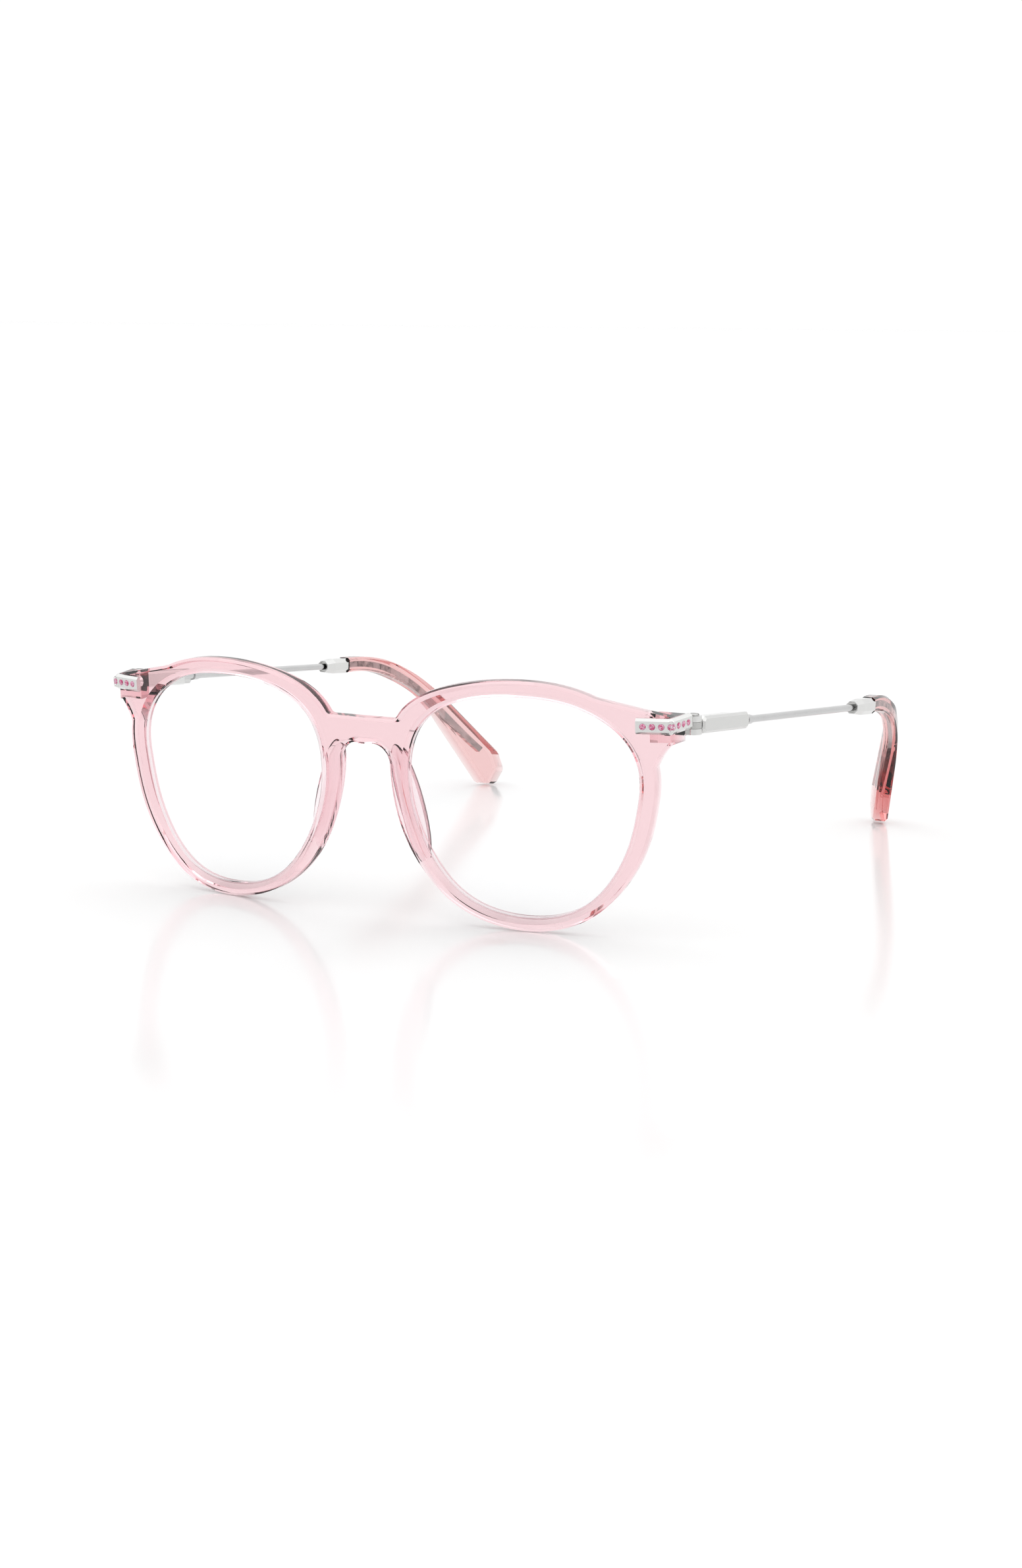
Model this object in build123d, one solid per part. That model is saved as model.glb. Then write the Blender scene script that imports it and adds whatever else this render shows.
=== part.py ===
from build123d import *
from math import asin, cos, degrees, hypot, pi, radians, sin, sqrt, tan
import os

# Full-rim spectacles, in millimetres. +X is the wearer's left, the front faces -Y, the temples
# run to +Y and +Z is up. The rims and the temple tips stand on Z = 0, temples open.
# Every piece is made for the wearer's left side and mirrored for the right.

# Front: a curved sheet with two bevelled rims, a bridge and two lugs
sheet_radius = 260.0        # of the front face, about an upright axis behind it
sheet = 3.5                 # thickness of the front
front_lean = 3.07           # degrees, top of the front leaning forwards
eye_centre = 34.9           # lens centre from the middle, along the curved face
eye_width = 48.6            # clear opening, nasal to temporal
eye_shape = [               # radius every 30 degrees, from the temple side upwards, as a share of half that
    1.011, 1.003, 0.861, 0.792, 0.869, 1.012, 0.999, 0.987, 1.037, 1.050, 1.069, 1.011]
rim_widths = [              # from the clear opening to the outside of the rim, at the same angles
    3.9, 3.8, 3.5, 3.4, 3.6, 5.1, 4.1, 3.8, 2.7, 2.7, 2.75, 3.5]
rim_bevel = 1.2             # from the flat face down to the lens
edge_bevel = 0.55           # round the outside of the flat face
back_bevel = 0.9            # round the outside of the back

# Bridge, measured from the lens centre level
bridge_top = 13.3
bridge_bottom = 7.8
arch_round = 4.2            # where the underside of the bridge turns down into the rims
notch_round = 1.2           # where its top meets the rims
slope_width = 2.5
slope_depth = 1.5           # the nasal side of each rim slopes away to this depth
nasal_edge = [              # foot of the slope, from the rim's nasal edge and the lens centre level
    (0.1, 4.2), (1.1, 0.0), (2.6, -8.5), (5.2, -15.0), (9.2, -20.4), (15.0, -24.6)]
slope_taper = [0.95, 1.0, 1.0, 1.0, 0.75, 0.2]     # share of the slope's width at those points
arch_taper = [0.5, 0.6]     # and along the underside of the bridge
arch_share = 0.62           # the arch stays level for this share of the way to the rim

# Lug at the top outer corner of the front, measured from the lens centre
lug_reach = 31.4            # to the corner, along the face
lug_top = 16.45
lug_bottom = 11.0
lug_join = 13.5             # where the lug's top edge leaves the rim
lug_depth = 5.6             # length of its side, front to back
lug_width = 5.6             # of the thick part behind the face
lug_splay = 7.0             # degrees, the side opens out towards the back
lug_slope = 0.215           # fall of the lug's top edge towards its corner
lug_curve = (2.5, 3.4)      # its underside passes this far inwards of and below the lower corner
lug_root = (0.55, 1.0)      # it ends this far inside the rim's temple edge, and this far up

# Lenses, bevelled to a V that sits in the groove of the rim
lens_set_back = 1.25        # from the front face to the lens
lens_thickness = 1.6
groove_depth = 0.7
groove_clearance = 0.03

# Nose pads, long domes bonded behind the nasal side of the rims
pad_length = 25.0
pad_width = 5.8
pad_height = 2.7            # of the dome
pad_sink = 0.4              # its middle lies this far inside the front, which is cut from it
pad_level = -4.0            # middle of the pad, from the lens centre level
pad_inset = 24.7            # middle of the pad, from the lens centre towards the nose
pad_lean = 15.5             # degrees, the pads spread apart downwards
pad_splay = 24.0            # degrees, they open towards the face

# Corner trim: a metal bar round each lug, set with a row of small stones
trim_start = 24.7           # its inner end, from the lens centre
trim_low = 13.25
trim_height = 3.15
trim_thickness = 0.95
trim_tail = 1.0             # it runs past the back of the lug by this much
trim_bevel = 0.5
peg_radius = 1.2            # peg behind the trim that holds it to the lug
peg_length = 2.7
peg_inset = 1.9             # from the inner end of the trim
peg_rise = 0.2              # above the middle of the trim

stone_radius = 0.62
stone_table = 0.36          # radius of its flat top
stone_height = 0.72
stone_sink = 0.5            # of that height, this much is below the metal
stone_girdle = 0.08         # straight edge between its crown and its point
seat_play = 0.03            # between a stone and its seat
stone_count = 4             # on each leg of the trim
stone_inset = 1.45          # from the end of a leg to its first stone
front_pitch = 1.85
side_pitch = 1.75

# Fold hinge: two knuckles on the front, one between them on the temple's slider
hinge_drop = 1.0            # hinge middle below the middle of the trim
hinge_gap = 2.95            # from the back of the lug to the hinge axis
hinge_outset = 0.3          # from the outside of the lug out to the hinge axis
knuckle_radius = 1.65
end_knuckle = 1.15
mid_knuckle = 1.3
knuckle_gap = 0.05
leaf_thickness = 0.8
leaf_length = 4.4
leaf_height = 3.5
leaf_inset = 0.15           # from the outside of the lug
tongue_length = 2.6
tongue_width = 1.4
tongue_height = 1.8
arm_width = 1.25
screw_radius = 0.6
screw_play = 0.05
screw_head_radius = 1.1
screw_head_height = 0.4
screw_slot = 0.28
screw_slot_depth = 0.2

# Temple: plaque and spring housing, thin rod, ferrule and tip
temple_splay = 0.8          # degrees outwards from straight back
rod_run = 87.5              # hinge axis to the front end of the tip, along the temple
rod_radius = 0.75
rod_offset = 0.9            # rod outwards of the hinge axis
collar_radius = 1.0         # short collar on the rod behind the plaque
collar_length = 1.8
plaque_start = 0.95
plaque_length = 21.4
plaque_height = 3.4
plaque_thickness = 1.0
plaque_bevel = 0.5
plaque_corner = 0.8         # its octagonal ends
knuckle_clearance = 0.15

housing_start = 2.7
housing_length = 14.6
housing_height = 3.2
housing_width = 2.5
housing_bevel = 0.35
bore_width = 1.7            # of the square bore inside the housing
bore_end = 1.0              # wall at the closed end of the bore
slider_play = 0.05
slider_neck = 0.9           # height of the neck between the end knuckles
slider_length = 2.6         # of the square guide inside the housing
spindle_radius = 0.4
spindle_play = 0.06
bush_length = 0.8
nut_length = 0.8
nut_run_out = 1.2           # free bore behind the nut
flex_travel = 1.2           # the temple can be drawn away from the hinge by this much
spring_wire = 0.2
spring_radius = 0.68        # to the middle of its wire
spring_turns = 9
spring_room = 0.05

ferrule_length = 9.6
ferrule_front = 2.7         # square front end
ferrule_shoulder = (3.5, 3.2)   # height and width where its flare ends
ferrule_flare = 3.45
ferrule_corner = 0.28       # cut off its corners, as a share of its width
ferrule_mouth_radius = 1.2
ferrule_mouth_depth = 1.6

# Tip: a flat plate on edge, straight, then down and inwards to a wide facetted end
rod_embed = 0.5             # the round rod runs this far into the tip
tip_lead = 1.0              # the tip's lines start this far inside the ferrule, where it is cut square
tip_height = 35.2           # middle of the tip's front end, above the floor
tip_start = 3.6             # its height there
tip_thickness = 3.3
tip_bevel = 0.55
core_width = 1.4
core_thickness = 0.9
tip_plan = [(0.0, 0.0), (-3.0, 21.2), (-6.4, 32.0), (-18.6, 53.7)]     # its middle, from above
tip_plan_round = 40.0
tip_top = [(0.0, 1.8), (10.5, 1.0), (20.3, -1.9), (29.0, -7.0), (35.8, -12.7)]   # side view
tip_under = [(0.0, -1.8), (10.5, -2.6), (18.4, -5.1), (25.9, -8.9), (32.9, -15.4)]
tip_end = [(48.7, -27.1), (50.1, -31.6), (48.0, -35.2), (44.9, -34.7)]
core_line = [(0.0, 0.0), (10.0, -0.75), (18.5, -3.4), (26.0, -7.6), (33.0, -13.6), (38.5, -19.6),
             (44.7, -26.0)]

overcut = 30.0              # cutters run this far past what they cut


def face_y(x):
    """How far the curved front face lies behind its foremost line at x."""
    return sheet_radius - sqrt(sheet_radius ** 2 - x ** 2)


eye_angle = degrees(eye_centre / sheet_radius)
eye_x = sheet_radius * sin(radians(eye_angle))
eye_plane = Plane(
    origin=(eye_x, face_y(eye_x), 0),
    x_dir=(cos(radians(eye_angle)), sin(radians(eye_angle)), 0),
    z_dir=(sin(radians(eye_angle)), -cos(radians(eye_angle)), 0),
)


def shell(front_depth, back_depth):
    """The part of the curved sheet between two depths behind the front face."""
    ring = Circle(sheet_radius - front_depth) - Circle(sheet_radius - back_depth)
    arc = extrude(Pos(0, sheet_radius) * ring, overcut * 1.5, both=True)
    return arc & Pos(0, overcut, 0) * Box(overcut * 6, overcut * 2.5, overcut * 3)


def eye_outline(grow=0.0, widths=None):
    """Face of the clear opening in the eye plane, grown outwards by an amount, or by one per point."""
    step = 2 * pi / len(eye_shape)
    widths = widths or [grow] * len(eye_shape)
    radii = [eye_width / 2 * share + width for share, width in zip(eye_shape, widths)]
    points = [(r * cos(i * step), r * sin(i * step)) for i, r in enumerate(radii)]
    return make_face(Spline(points, periodic=True))


def lug_outline():
    """Face of the lug in the eye plane; its thick part is added behind it."""
    rim = eye_width / 2 + rim_widths[0]
    into_rim = 3.0
    start = (lug_join, lug_top + lug_slope * (lug_reach - lug_join))
    corner_top = (lug_reach, lug_top)
    corner_low = (lug_reach, lug_bottom)
    root = (rim - lug_root[0], lug_root[1])
    under = ThreePointArc(corner_low, (lug_reach - lug_curve[0], lug_bottom - lug_curve[1]), root)
    rest = Polyline(root, (rim - into_rim, lug_root[1]), (lug_join, lug_bottom + into_rim), start,
                    corner_top, corner_low)
    return make_face([under, *rest.edges()])


def bridge_outline():
    """Face of one half of the bridge in the eye plane, running past the middle of the front."""
    past_middle = 3
    into_rim = eye_centre - eye_width / 2 - rim_widths[6] / 2
    width = into_rim + past_middle
    middle = -eye_centre - past_middle + width / 2
    return Pos(middle, (bridge_top + bridge_bottom) / 2) * Rectangle(width, bridge_top - bridge_bottom)


def nasal_gap(inset):
    """The space between the rims below the bridge, its edge set into the rim by inset."""
    reach = eye_centre - eye_width / 2 - rim_widths[6]
    edge = [(0, bridge_bottom), (reach * arch_share, bridge_bottom - 0.3)]
    edge += [(reach + out, level) for out, level in nasal_edge]
    points = [(x + inset * share * 0.9, y + inset * share * 0.35)
              for (x, y), share in zip(edge, arch_taper + slope_taper)]
    far = overcut + eye_width / 2
    curve = Spline(points)
    closing = Polyline(points[-1], (points[-1][0], -far), (0, -far), points[0])
    return make_face([curve, *closing.edges()])


def lug_block():
    """The thick part of the lug behind its face, from above, before the top and underside are cut."""
    front = lug_corner()
    back = (front[0] + lug_depth * tan(radians(lug_splay)), front[1] + lug_depth)
    plan = make_face(Polyline((front[0] - lug_width, front[1] - 1), (front[0], front[1] - 1), front, back,
                              (back[0] - lug_width, back[1]), close=True))
    solid = Pos(0, 0, lug_bottom) * extrude(plan, lug_top - lug_bottom)
    return solid & Pos(0, sheet_radius, 0) * Cylinder(sheet_radius, overcut * 4)


def lug_corner():
    """Front outer corner of the lug, from above."""
    x = sheet_radius * sin((eye_centre + lug_reach) / sheet_radius)
    return (x, face_y(x))


def face_edges(part, depth):
    """Edges of a part that lie on the curved surface at a depth behind the front face."""
    radius = sheet_radius - depth
    found = []
    for edge in part.edges():
        spots = [edge.position_at(t) for t in (0.1, 0.5, 0.9)]
        if all(abs(hypot(p.X, p.Y - sheet_radius) - radius) < 0.01 for p in spots):
            found.append(edge)
    return found


def front_outline():
    """Rim, lug and half bridge as one face, with rounded inner corners."""
    face = (eye_outline(widths=rim_widths) + lug_outline() + bridge_outline()).face()
    notch = face.vertices().filter_by(lambda v: abs(v.Y - bridge_top) < 0.01 and v.X > -eye_centre)
    face = fillet(notch, notch_round)
    face = fillet(face.vertices().filter_by(
        lambda v: abs(v.Y - bridge_bottom) < 0.01 and v.X > -eye_centre), arch_round)
    return face


def upright(sketch, depth=14.0):
    """A prism through the front along the eye plane's normal."""
    return extrude(eye_plane * sketch, depth, both=True)


def half_front():
    """The wearer's left half of the front, not yet leaning."""
    body = upright(front_outline()) & shell(0, sheet)
    body &= Pos(overcut * 2, 0, 0) * Box(overcut * 4, overcut * 4, overcut * 4)
    outer = [e for e in face_edges(body, 0) if e.center().X > 0.01]
    body = chamfer(outer, edge_bevel)
    outer = [e for e in face_edges(body, sheet) if e.center().X > 0.01]
    body = chamfer(outer, back_bevel)
    opening = upright(eye_outline())
    body -= opening
    inner = [e for e in face_edges(body, 0) if opening.distance_to(Vertex(e @ 0.5)) < 0.01]
    body = chamfer(inner, rim_bevel)
    body -= nasal_slope()
    body += lug_block()
    return body


def nasal_slope():
    """Cutter for the slope from the nasal ridge of the rim down to its outside."""
    ahead = 1.0
    growth = slope_width / slope_depth
    front = Plane.XZ.offset(ahead) * nasal_gap(slope_width + ahead * growth)
    root = Plane.XZ.offset(-slope_depth) * nasal_gap(0)
    return loft([front.face(), root.face()], ruled=True)


def lens():
    body = upright(eye_outline(groove_depth)) & shell(lens_set_back, lens_set_back + lens_thickness)
    rims = face_edges(body, lens_set_back) + face_edges(body, lens_set_back + lens_thickness)
    return chamfer(rims, groove_depth * 0.8)


def lens_groove():
    """The lens's own shape, larger by the groove clearance."""
    front_depth = lens_set_back - groove_clearance
    back_depth = lens_set_back + lens_thickness + groove_clearance
    body = upright(eye_outline(groove_depth + groove_clearance)) & shell(front_depth, back_depth)
    rims = face_edges(body, front_depth) + face_edges(body, back_depth)
    return chamfer(rims, groove_depth * 0.8)


def nose_pad():
    """Bonded pad before the front is cut from it."""
    dome = scale(Sphere(1), by=(pad_length / 2, pad_width / 2, pad_height))
    stand = Plane.XZ.offset(-sheet).location * Rot(0, 0, 90 + pad_lean) * Rot(180 - pad_splay, 0, 0)
    return Pos(eye_centre - pad_inset, 0, pad_level) * stand * Pos(0, 0, -pad_sink) * dome


def side_frame(distance):
    """Place on the side of the lug, from its front corner back, normal outwards."""
    corner = lug_corner()
    turn = radians(lug_splay)
    spot = (corner[0] + distance * sin(turn), corner[1] + distance * cos(turn), 0)
    return Plane(origin=spot, x_dir=(-sin(turn), -cos(turn), 0), z_dir=(cos(turn), -sin(turn), 0))


def face_frame(along):
    """Place on the front face at a distance along it from the middle, normal outwards."""
    turn = along / sheet_radius
    x = sheet_radius * sin(turn)
    return Plane(origin=(x, face_y(x), 0), x_dir=(cos(turn), sin(turn), 0), z_dir=(sin(turn), -cos(turn), 0))


def lug_footprint():
    """The curved front and the lug's side as one outline from above."""
    corner = lug_corner()
    run = overcut
    slope = tan(radians(lug_splay))
    side = Polyline((corner[0] - run * slope, corner[1] - run), (corner[0] + run * slope, corner[1] + run),
                    (0, corner[1] + run), (0, corner[1] - run), close=True)
    return make_face(side) & Pos(0, sheet_radius) * Circle(sheet_radius)


def trim_stones():
    """Where the stones sit: planes on the outside of the trim."""
    mid = trim_low + trim_height / 2
    start = eye_centre + trim_start + stone_inset
    spots = [face_frame(start + i * front_pitch) for i in range(stone_count)]
    end = side_leg_length() - stone_inset
    spots += [side_frame(end - i * side_pitch) for i in reversed(range(stone_count))]
    return [Pos(0, 0, mid) * spot.location * Pos(0, 0, trim_thickness) for spot in spots]


def side_leg_length():
    return lug_depth / cos(radians(lug_splay)) + trim_tail


def trim_bar():
    """Bar round the corner of the lug with its long edges bevelled."""
    footprint = lug_footprint()
    start = face_frame(eye_centre + trim_start)
    tail = side_frame(side_leg_length())
    deep = 3 * trim_thickness
    corners = [spot.from_local_coords((0, 0, height)) for spot, height in (
        (start, -deep), (start, deep), (side_frame(-deep), deep), (tail, deep), (tail, -deep))]
    keep = make_face(Polyline([(corner.X, corner.Y) for corner in corners], close=True))
    plan = (offset(footprint, amount=trim_thickness) - footprint) & keep
    body = Pos(0, 0, trim_low) * extrude(plan, trim_height)
    outer = [e for e in body.edges() if abs(e.tangent_at(0.5).Z) < 0.1 and
             distance_outside(e @ 0.5) > trim_thickness * 0.9]
    return chamfer(outer, trim_bevel)


def distance_outside(point):
    """Distance of a point outside the lug's outline from above."""
    return lug_footprint().face().distance_to(Vertex(point.X, point.Y, 0))


def stone():
    """Round brilliant with its table towards +Z and its girdle at the metal's surface."""
    crown = stone_height - stone_sink
    profile = make_face(Polyline((0, -stone_sink), (stone_radius, -stone_girdle / 2),
                                 (stone_radius, stone_girdle / 2),
                                 (stone_table, crown), (0, crown), close=True))
    return revolve(Plane.XZ * profile, Axis.Z)


def stone_seat():
    wide, above = stone_radius + seat_play, stone_height - stone_sink
    profile = make_face(Polyline((0, -stone_sink - seat_play), (wide, -stone_girdle / 2 - seat_play),
                                 (wide, above), (0, above), close=True))
    return revolve(Plane.XZ * profile, Axis.Z)


def trim_peg():
    """Peg from the back of the trim into the lug."""
    spot = face_frame(eye_centre + trim_start + peg_inset).location
    level = trim_low + trim_height / 2 + peg_rise
    blank = Pos(0, 0, level) * spot * Cylinder(peg_radius, peg_length * 2)
    return blank & shell(0, peg_length * 2)


# Places that the whole frame shares

def lean(piece):
    return Rot(front_lean, 0, 0) * piece


def hinge_place():
    """Hinge axis point in the leaning front, before the front is set on the floor."""
    corner = lug_corner()
    back = (corner[0] + lug_depth * tan(radians(lug_splay)), corner[1] + lug_depth)
    level = trim_low + trim_height / 2 - hinge_drop
    turn = radians(front_lean)
    return (back[0] + hinge_outset, back[1] * cos(turn) - level * sin(turn) + hinge_gap,
            back[1] * sin(turn) + level * cos(turn))


def lug_back_plane():
    """Everything behind the upright back face of the lug."""
    x, y, z = hinge_place()
    return Pos(x, y - hinge_gap + overcut, z) * Box(overcut * 2, overcut * 2, overcut)


def hinge_leaf():
    """Plate on the back of the lug with the two outer knuckles, and a tongue let into the lug."""
    x, y, z = hinge_place()
    height = 2 * end_knuckle + mid_knuckle + 2 * knuckle_gap
    plate_start = x - hinge_outset - leaf_inset - leaf_length
    plate = Pos(plate_start + leaf_length / 2, y - hinge_gap + leaf_thickness / 2, z) * Box(
        leaf_length, leaf_thickness, leaf_height)
    tongue = Pos(plate_start + leaf_length / 2, y - hinge_gap - tongue_length / 2, z) * Box(
        tongue_width, tongue_length, tongue_height)
    body = chamfer(plate.edges().filter_by(Axis.Y), 0.4) + tongue
    reach = hinge_gap - leaf_thickness / 2
    for side in (-1, 1):
        level = z + side * (height - end_knuckle) / 2
        arm = Pos(x - knuckle_radius + arm_width / 2, y - reach / 2, level) * Box(arm_width, reach, end_knuckle)
        body += arm + Pos(x, y, level) * Cylinder(knuckle_radius, end_knuckle)
    return body - Pos(x, y, z) * Cylinder(screw_radius, overcut)


def hinge_screw():
    x, y, z = hinge_place()
    height = 2 * end_knuckle + mid_knuckle + 2 * knuckle_gap
    shank = Cylinder(screw_radius, height)
    head = Pos(0, 0, height / 2 + screw_head_height / 2) * Cylinder(screw_head_radius, screw_head_height)
    head = fillet(head.edges().sort_by(Axis.Z)[-1], screw_head_height * 0.6)
    slot = Pos(0, 0, height / 2 + screw_head_height) * Box(overcut, screw_slot, screw_slot_depth * 2)
    return Pos(x, y, z) * (shank + (head - slot))


def temple_frame():
    """Hinge point with Y along the temple, sloping so that the tip comes down to the floor."""
    x, y, z = hinge_place()
    drop = z + front_rise - tip_height
    return Pos(x, y, z) * Rot(-degrees(asin(drop / rod_run)), 0, 0) * Rot(0, 0, -temple_splay)


def along(length, width, height, start=0.0, outward=0.0):
    """Box along the temple from start, its middle set outwards."""
    return Pos(outward, start + length / 2, 0) * Box(width, length, height)


def rod_piece(radius, length, start=0.0, outward=0.0):
    """Round bar along the temple from start."""
    return Pos(outward, start + length / 2, 0) * Rot(90, 0, 0) * Cylinder(radius, length)


housing_middle = rod_offset - housing_width / 2
guide_start = housing_start + 0.2
bush_start = guide_start + slider_length + 0.3
spring_start = bush_start + bush_length + flex_travel + spring_room
nut_start = housing_start + housing_length - bore_end - nut_length - nut_run_out


def hinge_slider():
    """Middle knuckle with its neck, the square guide and the spindle."""
    x, y, z = hinge_place()
    guide = bore_width - 2 * slider_play
    neck_start, into_guide = 0.9, 0.2
    body = along(guide_start - neck_start + into_guide, guide * 0.9, slider_neck, neck_start, housing_middle)
    body += along(slider_length, guide, guide, guide_start, housing_middle)
    spindle_start = guide_start + slider_length
    body += rod_piece(spindle_radius, nut_start + nut_length - spindle_start, spindle_start, housing_middle)
    body = temple_frame() * body
    body += Pos(x, y, z) * Cylinder(knuckle_radius, mid_knuckle)
    return body - Pos(x, y, z) * Cylinder(screw_radius + screw_play, overcut)


def slider_bush():
    ring = along(bush_length, bore_width, bore_width, bush_start, housing_middle)
    return temple_frame() * (ring - rod_piece(spindle_radius + spindle_play, overcut, 0, housing_middle))


def slider_nut():
    ring = rod_piece(bore_width / 2 - 0.1, nut_length, nut_start, housing_middle)
    return temple_frame() * (ring - rod_piece(spindle_radius, overcut, 0, housing_middle))


def slider_spring():
    length = nut_start - spring_start - spring_wire
    path = Helix(pitch=length / spring_turns, height=length, radius=spring_radius)
    wire = Plane(origin=path @ 0, z_dir=path % 0) * Circle(spring_wire / 2)
    coil = sweep(wire, path)
    place = Pos(housing_middle, spring_start + spring_wire / 2, 0) * Rot(-90, 0, 0)
    return temple_frame() * place * coil


def spring_housing():
    body = along(housing_length, housing_width, housing_height, housing_start, housing_middle)
    body = chamfer(body.edges().filter_by(Axis.Y), housing_bevel)
    end = body.faces().sort_by(Axis.Y)[-1].edges().sort_by(Axis.X)[0]
    body = chamfer(end, housing_width * 0.6)
    bore = along(housing_length - bore_end, bore_width, bore_width, housing_start, housing_middle)
    return temple_frame() * (body - bore)


def temple_plaque():
    """Flat bar with bevelled edges and octagonal ends on the outside of the temple."""
    inner = housing_middle + housing_width / 2
    body = along(plaque_length, plaque_thickness, plaque_height, plaque_start, inner + plaque_thickness / 2)
    body = chamfer(body.edges().filter_by(Axis.X), plaque_corner)
    rim = body.faces().sort_by(Axis.X)[-1].edges()
    body = chamfer(rim, plaque_bevel)
    body = temple_frame() * body - temple_rod_blank()
    return body - knuckle_space()


def knuckle_space():
    """Room round the knuckles."""
    return Pos(*hinge_place()) * Cylinder(knuckle_radius + knuckle_clearance, overcut)


def temple_rod_blank():
    start = housing_start + housing_length
    rod = rod_piece(rod_radius, rod_run + rod_embed - start, start, rod_offset)
    rod += rod_piece(collar_radius, collar_length, plaque_start + plaque_length, rod_offset)
    return temple_frame() * rod


def tip_place():
    return Pos(*(temple_frame() * Pos(rod_offset, rod_run - tip_lead, 0)).position)


def tip_core():
    """Flattened end of the rod inside the tip."""
    side = Plane.YZ * trace(Spline(core_line), core_width)
    plan = trace(FilletPolyline(tip_plan, radius=tip_plan_round), core_thickness)
    return tip_place() * (extrude(side, overcut, both=True) & extrude(plan, overcut * 2, both=True))


def tip_blank():
    top, under = Spline(tip_top), Spline(tip_under)
    ends = Polyline(tip_top[-1], *tip_end, tip_under[-1])
    start = Line(tip_under[0], tip_top[0])
    side = Plane.YZ * make_face([top, *ends.edges(), under, start])
    plan = trace(FilletPolyline(tip_plan, radius=tip_plan_round), tip_thickness)
    return extrude(side, overcut, both=True) & extrude(plan, overcut * 2, both=True)


def tip():
    """Plate with a bevel all round, before it is cut square at the ferrule."""
    return tip_place() * chamfer(tip_blank().edges(), tip_bevel)


def tip_ferrule():
    """Sleeve that widens from the rod to the tip, open in front round the rod."""
    start = rod_run - ferrule_length
    sections = []
    for place, (height, width) in ((start, (ferrule_front, ferrule_front)),
                                   (start + ferrule_flare, ferrule_shoulder),
                                   (rod_run, (tip_start, tip_thickness))):
        shape = chamfer(Rectangle(width, height).vertices(), ferrule_corner * width)
        sections.append((Pos(rod_offset, place, 0) * Rot(90, 0, 0) * shape).face())
    body = loft(sections, ruled=True)
    body -= rod_piece(rod_radius, ferrule_length, start, rod_offset)
    body -= rod_piece(ferrule_mouth_radius, ferrule_mouth_depth, start, rod_offset)
    return temple_frame() * body


def mirrored(piece):
    return mirror(piece, about=Plane.YZ)


half = half_front()
front_rise = -lean(half).bounding_box().min.Z


def left_pieces():
    """Every piece of the wearer's left side by name, in place, with the front set on the floor."""
    rise = Pos(0, 0, front_rise)
    bar, peg = trim_bar(), trim_peg()
    stones = [place * stone() for place in trim_stones()]
    for place in trim_stones():
        bar -= place * stone_seat()
    behind_lug = lug_back_plane()
    leaf = hinge_leaf()
    front = lean(half - lens_groove() - peg) - behind_lug - leaf
    pad = lean(nose_pad() - half - (upright(eye_outline()) & shell(0, sheet)))
    cut = temple_frame() * Pos(0, rod_run - overcut / 2, 0) * Box(overcut, overcut, overcut)
    rod = temple_rod_blank() + (tip_core() - cut)
    pieces = {
        "front_frame": front,
        "lens": lean(lens()),
        "nose_pad": pad.solids().sort_by(SortBy.VOLUME)[-1],
        "corner_trim": lean(bar) - knuckle_space(),
        "trim_stones": Compound(children=[lean(gem) for gem in stones]),
        "trim_peg": lean(peg),
        "hinge_leaf": leaf,
        "hinge_screw": hinge_screw(),
        "hinge_slider": hinge_slider(),
        "slider_bush": slider_bush(),
        "slider_spring": slider_spring(),
        "slider_nut": slider_nut(),
        "spring_housing": spring_housing(),
        "temple_plaque": temple_plaque(),
        "temple_rod": rod,
        "tip_ferrule": tip_ferrule(),
        "temple_tip": tip() - cut - rod,
    }
    return {name: rise * piece for name, piece in pieces.items()}


def main():
    pieces = {}
    for name, piece in left_pieces().items():
        if name == "front_frame":
            pieces[name] = piece + mirrored(piece)
            continue
        pieces[name + "_left"] = piece
        pieces[name + "_right"] = mirrored(piece)
    whole = Compound(children=[solid for piece in pieces.values() for solid in piece.solids()])
    box = whole.bounding_box()
    to_origin = Pos(0, -(box.min.Y + box.max.Y) / 2, -box.min.Z)
    os.makedirs("parts", exist_ok=True)
    for name, piece in pieces.items():
        export_step(to_origin * piece, f"parts/{name}.step")
    hinge = to_origin * Pos(0, 0, front_rise) * Pos(*hinge_place())
    print("hinge axis", [round(v, 4) for v in hinge.position])
    print("moved back by", round(-to_origin.position.Y, 4), "raised by", round(to_origin.position.Z, 4))
    print("size", [round(v, 3) for v in box.size])


if __name__ == "__main__":
    main()
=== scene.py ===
import math

import bmesh
import bpy
from mathutils import Matrix, Vector

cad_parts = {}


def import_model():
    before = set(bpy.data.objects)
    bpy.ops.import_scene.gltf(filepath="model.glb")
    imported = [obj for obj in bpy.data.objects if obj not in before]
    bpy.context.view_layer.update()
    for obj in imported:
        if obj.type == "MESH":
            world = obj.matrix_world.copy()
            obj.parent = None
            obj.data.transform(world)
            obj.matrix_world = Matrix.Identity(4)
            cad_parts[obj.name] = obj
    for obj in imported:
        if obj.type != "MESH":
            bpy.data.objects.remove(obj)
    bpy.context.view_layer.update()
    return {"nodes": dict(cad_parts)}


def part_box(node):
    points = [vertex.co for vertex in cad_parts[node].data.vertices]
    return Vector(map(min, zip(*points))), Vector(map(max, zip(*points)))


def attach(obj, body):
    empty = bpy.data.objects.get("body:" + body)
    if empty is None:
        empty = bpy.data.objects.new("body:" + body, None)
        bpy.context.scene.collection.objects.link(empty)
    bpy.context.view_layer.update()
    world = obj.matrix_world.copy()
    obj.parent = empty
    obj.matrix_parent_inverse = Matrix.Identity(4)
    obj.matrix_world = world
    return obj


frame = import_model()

nodes = frame["nodes"]
SIDES = ("left", "right")


# Materials

def new_material(name):
    material = bpy.data.materials.new(name)
    material.use_nodes = True
    tree = material.node_tree
    return material, tree, tree.nodes["Principled BSDF"]


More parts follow.
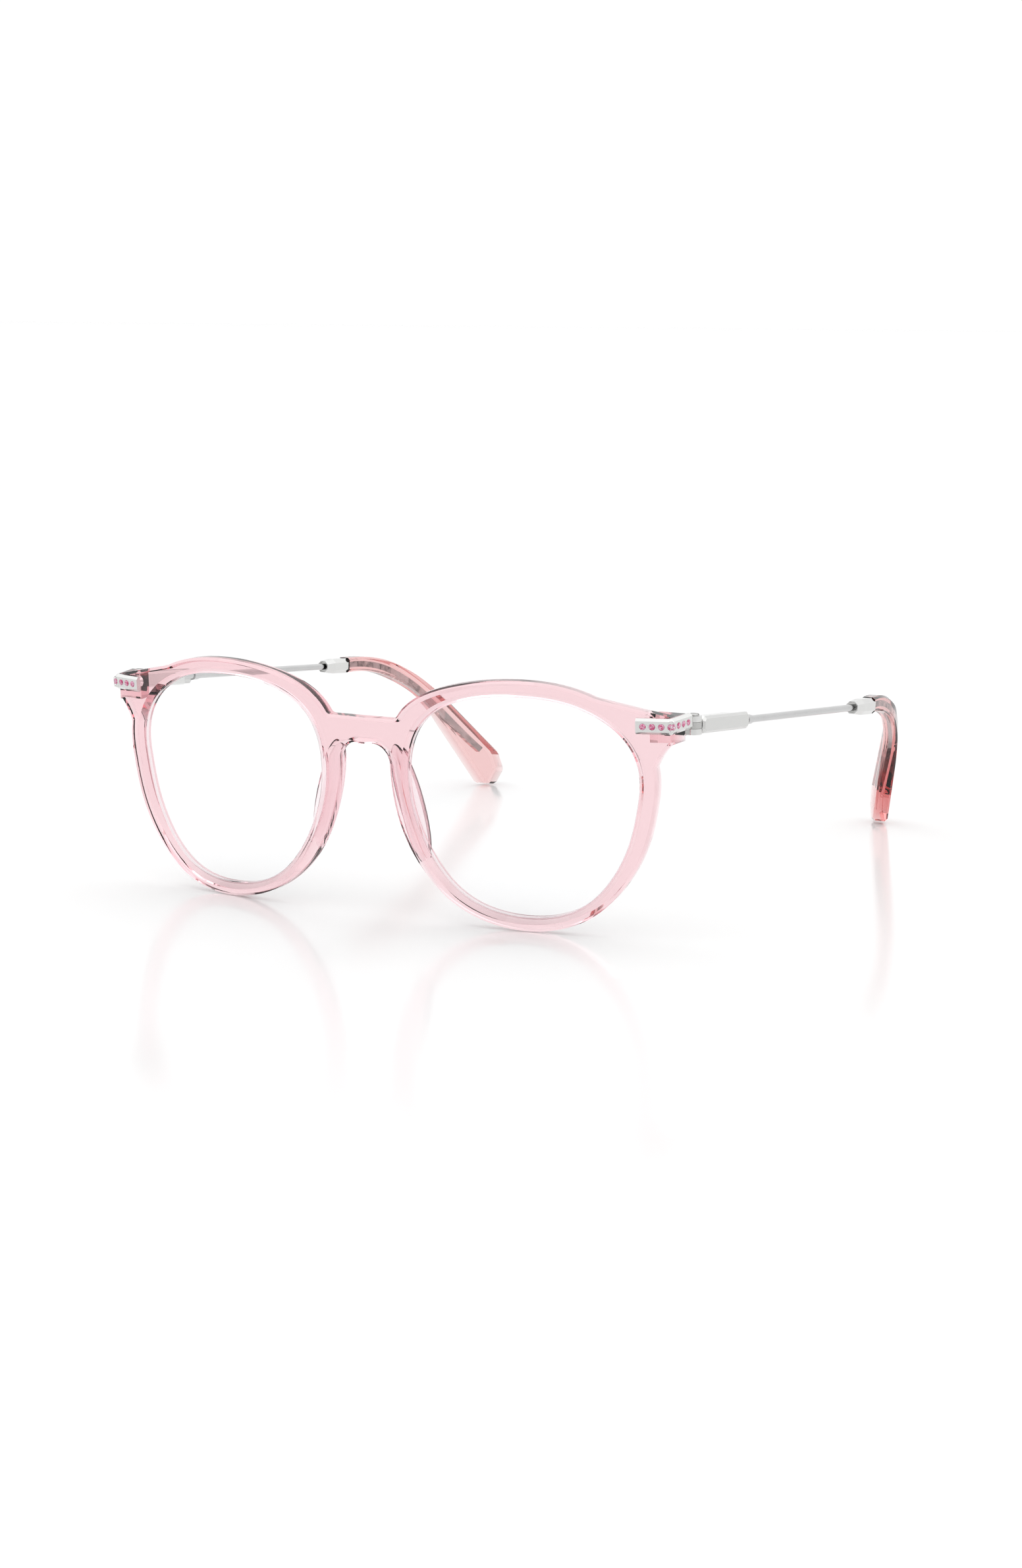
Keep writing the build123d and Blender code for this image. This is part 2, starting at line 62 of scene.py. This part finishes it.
def noise(tree, scale, detail=3.0, stretch=None):
    """Noise in the row frame, stretched along an axis where a finish has a direction."""
    coords = tree.nodes.new("ShaderNodeTexCoord")
    texture = tree.nodes.new("ShaderNodeTexNoise")
    texture.inputs["Scale"].default_value = scale
    texture.inputs["Detail"].default_value = detail
    source = coords.outputs["Object"]
    if stretch:
        mapping = tree.nodes.new("ShaderNodeMapping")
        mapping.inputs["Scale"].default_value = stretch
        tree.links.new(source, mapping.inputs["Vector"])
        source = mapping.outputs["Vector"]
    tree.links.new(source, texture.inputs["Vector"])
    return texture.outputs["Fac"]


def spread(tree, value, low, high):
    """Maps noise to a range."""
    node = tree.nodes.new("ShaderNodeMapRange")
    node.inputs["From Min"].default_value = 0.3
    node.inputs["From Max"].default_value = 0.7
    node.inputs["To Min"].default_value = low
    node.inputs["To Max"].default_value = high
    tree.links.new(value, node.inputs["Value"])
    return node.outputs["Result"]


def tint(tree, value, first, second):
    node = tree.nodes.new("ShaderNodeMix")
    node.data_type = "RGBA"
    node.inputs["A"].default_value = (*first, 1)
    node.inputs["B"].default_value = (*second, 1)
    tree.links.new(value, node.inputs["Factor"])
    return node.outputs["Result"]


def bump(tree, shader, height, strength, distance):
    node = tree.nodes.new("ShaderNodeBump")
    node.inputs["Strength"].default_value = strength
    node.inputs["Distance"].default_value = distance
    tree.links.new(height, node.inputs["Height"])
    tree.links.new(node.outputs["Normal"], shader.inputs["Normal"])


def acetate(name, first, second, absorbed, density):
    """Polished clear acetate with faint clouding and ripple, its colour deeper where it is thicker."""
    material, tree, shader = new_material(name)
    cloud = noise(tree, 90.0, 4.0)
    tree.links.new(tint(tree, cloud, first, second), shader.inputs["Base Color"])
    tree.links.new(spread(tree, noise(tree, 400.0), 0.008, 0.03), shader.inputs["Roughness"])
    shader.inputs["Transmission Weight"].default_value = 1.0
    shader.inputs["IOR"].default_value = 1.36
    bump(tree, shader, noise(tree, 240.0, 2.0), 0.02, 0.0001)
    volume = tree.nodes.new("ShaderNodeVolumeAbsorption")
    volume.inputs["Color"].default_value = (*absorbed, 1)
    volume.inputs["Density"].default_value = density
    tree.links.new(volume.outputs["Volume"], tree.nodes["Material Output"].inputs["Volume"])
    return material


def metal(name, first, second, rough_low, rough_high, stretch=None, ripple=0.05):
    material, tree, shader = new_material(name)
    grain = noise(tree, 900.0, 5.0, stretch)
    tree.links.new(tint(tree, noise(tree, 160.0), first, second), shader.inputs["Base Color"])
    tree.links.new(spread(tree, grain, rough_low, rough_high), shader.inputs["Roughness"])
    shader.inputs["Metallic"].default_value = 1.0
    bump(tree, shader, grain, ripple, 0.00004)
    return material


def crystal(name):
    """Pink stone with painted glints: its small facets are painted from deep pink to pale pink as painted
    sparkle, and differ in tilt.
    """
    material, tree, shader = new_material(name)
    coords = tree.nodes.new("ShaderNodeTexCoord")
    facets = tree.nodes.new("ShaderNodeTexVoronoi")
    facets.inputs["Scale"].default_value = 3200.0
    tree.links.new(coords.outputs["Object"], facets.inputs["Vector"])
    parts = tree.nodes.new("ShaderNodeSeparateColor")
    tree.links.new(facets.outputs["Color"], parts.inputs["Color"])
    # painted glint: each facet's base colour runs from deep pink to pale pink in place of sparkle
    shade = spread(tree, parts.outputs["Red"], 0.0, 1.0)
    tree.links.new(tint(tree, shade, (0.72, 0.03, 0.20), (1.0, 0.52, 0.72)), shader.inputs["Base Color"])
    tree.links.new(spread(tree, noise(tree, 700.0), 0.01, 0.05), shader.inputs["Roughness"])
    shader.inputs["IOR"].default_value = 1.6
    shader.inputs["Transmission Weight"].default_value = 0.35
    shader.inputs["Coat Weight"].default_value = 0.6
    bump(tree, shader, facets.outputs["Distance"], 0.6, 0.0001)
    return material


def clear_lens(name):
    material, tree, shader = new_material(name)
    tree.links.new(tint(tree, noise(tree, 40.0), (0.995, 0.997, 0.998), (0.985, 0.992, 0.997)),
                   shader.inputs["Base Color"])
    tree.links.new(spread(tree, noise(tree, 300.0), 0.0, 0.006), shader.inputs["Roughness"])
    shader.inputs["Transmission Weight"].default_value = 1.0
    shader.inputs["IOR"].default_value = 1.5
    shader.inputs["Specular IOR Level"].default_value = 0.12
    return material


front_acetate = acetate("front_acetate", (0.985, 0.945, 0.955), (0.975, 0.925, 0.94),
                        absorbed=(0.80, 0.12, 0.20), density=105.0)
pad_acetate = acetate("pad_acetate", (0.99, 0.955, 0.965), (0.98, 0.935, 0.95),
                      absorbed=(0.82, 0.16, 0.26), density=75.0)
tip_acetate = acetate("tip_acetate", (0.98, 0.93, 0.925), (0.965, 0.90, 0.895),
                      absorbed=(0.78, 0.10, 0.09), density=160.0)
polished = metal("polished_metal", (0.72, 0.72, 0.71), (0.66, 0.66, 0.65), 0.05, 0.13)
brushed = metal("brushed_plaque", (0.68, 0.68, 0.67), (0.61, 0.61, 0.60), 0.14, 0.26, (1.0, 0.05, 1.0), 0.12)
drawn = metal("drawn_rod", (0.60, 0.60, 0.60), (0.50, 0.50, 0.50), 0.12, 0.22, (1.0, 0.03, 1.0), 0.06)
steel = metal("turned_steel", (0.56, 0.56, 0.55), (0.46, 0.46, 0.45), 0.22, 0.38)
stone = crystal("pink_stone")
lens = clear_lens("lens_glass")

looks = {
    "front_frame": front_acetate, "nose_pad": pad_acetate, "temple_tip": tip_acetate, "lens": lens,
    "trim_stones": stone, "corner_trim": polished, "trim_peg": polished, "hinge_leaf": polished,
    "spring_housing": polished, "temple_plaque": brushed, "temple_rod": drawn, "tip_ferrule": polished,
    "hinge_screw": steel, "hinge_slider": steel, "slider_bush": steel, "slider_spring": steel,
    "slider_nut": steel,
}
for name, node in nodes.items():
    kind = name.removesuffix("_left").removesuffix("_right")
    node.data.materials.clear()
    node.data.materials.append(looks[kind])


# Stone settings. Lengths with SHARE in their name are shares of a stone's radius.

GIRDLE_POINTS = 12
GRAIN_COUNT = 4
GRAIN_PLACE_SHARE = 1.16
GRAIN_RADIUS_SHARE = 0.27
GRAIN_FLATTENING = 0.9
RING_STEPS = 28
RING_PROFILE_SHARES = ((1.02, -0.02), (1.05, 0.10), (1.14, 0.12), (1.24, 0.0))     # outwards, height
RING_WAVE = 0.03            # the ring's radius swells and shrinks by this share, four times round
BEHIND_TRIM = 0.004         # a point this far behind the trim's middle is inside the lug
MERGE_DISTANCE = 1e-7


def loose_parts(mesh):
    """Vertex positions of each separate lump of a mesh, in an order that changes between runs."""
    work = bmesh.new()
    work.from_mesh(mesh)
    bmesh.ops.remove_doubles(work, verts=work.verts, dist=MERGE_DISTANCE)
    unseen, parts = set(work.verts), []
    while unseen:
        stack, part = [unseen.pop()], []
        while stack:
            vert = stack.pop()
            part.append(vert.co.copy())
            for edge in vert.link_edges:
                other = edge.other_vert(vert)
                if other in unseen:
                    unseen.remove(other)
                    stack.append(other)
        parts.append(part)
    work.free()
    return parts


def settings(side):
    """Raised ring with four grains for each stone.

    Known fault: the middle comes from a few points on one part of the girdle, and from different
    ones each run, so a ring stands about half a stone's width off its stone.
    """
    trim_low, trim_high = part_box("corner_trim_" + side)
    middle = Vector(((trim_low.x + trim_high.x) / 2, (trim_low.y + trim_high.y) / 2 + BEHIND_TRIM, 0))
    work = bmesh.new()
    for part in loose_parts(nodes["trim_stones_" + side].data):
        centre = sum(part, Vector()) / len(part)
        girdle = sorted(part, key=lambda p: -(p - centre).length)[:GIRDLE_POINTS]
        rim = sum(girdle, Vector()) / len(girdle)
        normal = (girdle[0] - rim).cross(girdle[1] - rim)
        for other in girdle[2:]:
            if normal.length > 1e-8:
                break
            normal = (girdle[0] - rim).cross(other - rim)
        normal.normalize()
        if normal.dot(rim - Vector((middle.x, middle.y, rim.z))) < 0:
            normal.negate()
        radius = max((p - rim).length for p in girdle)
        up = (Vector((0, 0, 1)) - normal * normal.z).normalized()
        across = up.cross(normal)
        turn = Matrix((across, up, normal)).transposed().to_4x4()
        for corner in range(GRAIN_COUNT):
            angle = math.pi / 4 + corner * math.pi / 2
            spot = rim + (across * math.cos(angle) + up * math.sin(angle)) * radius * GRAIN_PLACE_SHARE
            shape = Matrix.Translation(spot) @ turn @ Matrix.Diagonal((1, 1, GRAIN_FLATTENING, 1))
            bmesh.ops.create_icosphere(work, subdivisions=2, radius=radius * GRAIN_RADIUS_SHARE, matrix=shape)
        rings = []
        for share, height in RING_PROFILE_SHARES:
            ring = []
            for i in range(RING_STEPS):
                angle = 2 * math.pi * i / RING_STEPS
                wave = 1 + RING_WAVE * math.cos(GRAIN_COUNT * angle)
                away = (across * math.cos(angle) + up * math.sin(angle)) * radius * share * wave
                ring.append(work.verts.new(rim + away + normal * radius * height))
            rings.append(ring)
        for inner, outer in zip(rings, rings[1:]):
            for i in range(RING_STEPS):
                j = (i + 1) % RING_STEPS
                work.faces.new((inner[i], inner[j], outer[j], outer[i]))
    mesh = bpy.data.meshes.new("stone_settings_" + side)
    bmesh.ops.recalc_face_normals(work, faces=work.faces)
    work.to_mesh(mesh)
    work.free()
    mesh.shade_smooth()
    mesh.materials.append(polished)
    piece = bpy.data.objects.new("stone_settings_" + side, mesh)
    bpy.context.scene.collection.objects.link(piece)
    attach(piece, "front")
    return piece


for side in SIDES:
    settings(side)


# Floor, world, lights and camera

FLOOR_REACH = 6.0
FLOOR_DROP = 0.0001         # below the object's lowest point, so that no faces coincide


def floor():
    mesh = bpy.data.meshes.new("floor")
    corners = [(x * FLOOR_REACH, y * FLOOR_REACH, 0) for x, y in ((-1, -1), (1, -1), (1, 1), (-1, 1))]
    mesh.from_pydata(corners, [], [(0, 1, 2, 3)])
    plane = bpy.data.objects.new("floor", mesh)
    bpy.context.scene.collection.objects.link(plane)
    plane.location.z = -FLOOR_DROP
    material, tree, shader = new_material("pale_floor")
    tree.links.new(tint(tree, noise(tree, 6.0), (0.77, 0.77, 0.77), (0.76, 0.76, 0.76)),
                   shader.inputs["Base Color"])
    shader.inputs["Roughness"].default_value = 0.14
    shader.inputs["IOR"].default_value = 1.4
    shader.inputs["Specular IOR Level"].default_value = 0.5
    mesh.materials.append(material)


def world():
    """Even white light, brightest overhead and a little darker on the side the camera stands."""
    sky = bpy.data.worlds.new("studio")
    bpy.context.scene.world = sky
    sky.use_nodes = True
    tree = sky.node_tree
    shade = tree.nodes["Background"]
    shade.inputs["Color"].default_value = (1, 1, 1, 1)
    coords = tree.nodes.new("ShaderNodeTexCoord")
    split = tree.nodes.new("ShaderNodeSeparateXYZ")
    tree.links.new(coords.outputs["Generated"], split.inputs["Vector"])
    total = tree.nodes.new("ShaderNodeMath")
    for slot, axis, (start, end), (low, high) in (
            (0, "Y", (-0.9, 0.1), (0.66, 1.02)), (1, "Z", (0.25, 0.85), (0.0, 0.5))):
        ramp = tree.nodes.new("ShaderNodeMapRange")
        ramp.interpolation_type = "SMOOTHSTEP"
        ramp.inputs["From Min"].default_value = start
        ramp.inputs["From Max"].default_value = end
        ramp.inputs["To Min"].default_value = low
        ramp.inputs["To Max"].default_value = high
        tree.links.new(split.outputs[axis], ramp.inputs["Value"])
        tree.links.new(ramp.outputs["Result"], total.inputs[slot])
    tree.links.new(total.outputs["Value"], shade.inputs["Strength"])


def area_light(name, place, aim, size, power):
    lamp = bpy.data.lights.new(name, "AREA")
    lamp.shape = "RECTANGLE"
    lamp.size, lamp.size_y = size
    lamp.energy = power
    piece = bpy.data.objects.new(name, lamp)
    piece.location = place
    piece.rotation_euler = (Vector(aim) - Vector(place)).to_track_quat("-Z", "Y").to_euler()
    bpy.context.scene.collection.objects.link(piece)


def camera():
    azimuth, elevation, distance = math.radians(29.24), math.radians(9.82), 0.630
    target = Vector((0.0, -0.0258, 0.022))
    back = Vector((math.cos(elevation) * math.sin(azimuth), -math.cos(elevation) * math.cos(azimuth),
                   math.sin(elevation)))
    data = bpy.data.cameras.new("camera")
    data.sensor_fit = "VERTICAL"
    data.sensor_height = 36.0
    data.lens = 66.23
    data.shift_x = 0.01883
    data.shift_y = -0.00624
    data.clip_start = 0.01
    piece = bpy.data.objects.new("camera", data)
    piece.location = target + back * distance
    piece.rotation_euler = (-back).to_track_quat("-Z", "Y").to_euler()
    bpy.context.scene.collection.objects.link(piece)
    bpy.context.scene.camera = piece


floor()
world()
area_light("key", (-0.5, -0.2, 0.9), (0, 0, 0.02), (0.9, 0.5), 1.5)
area_light("fill", (0.8, -0.5, 0.5), (0, -0.02, 0.02), (0.5, 0.6), 0.6)
camera()
bpy.context.scene.view_settings.view_transform = "Standard"
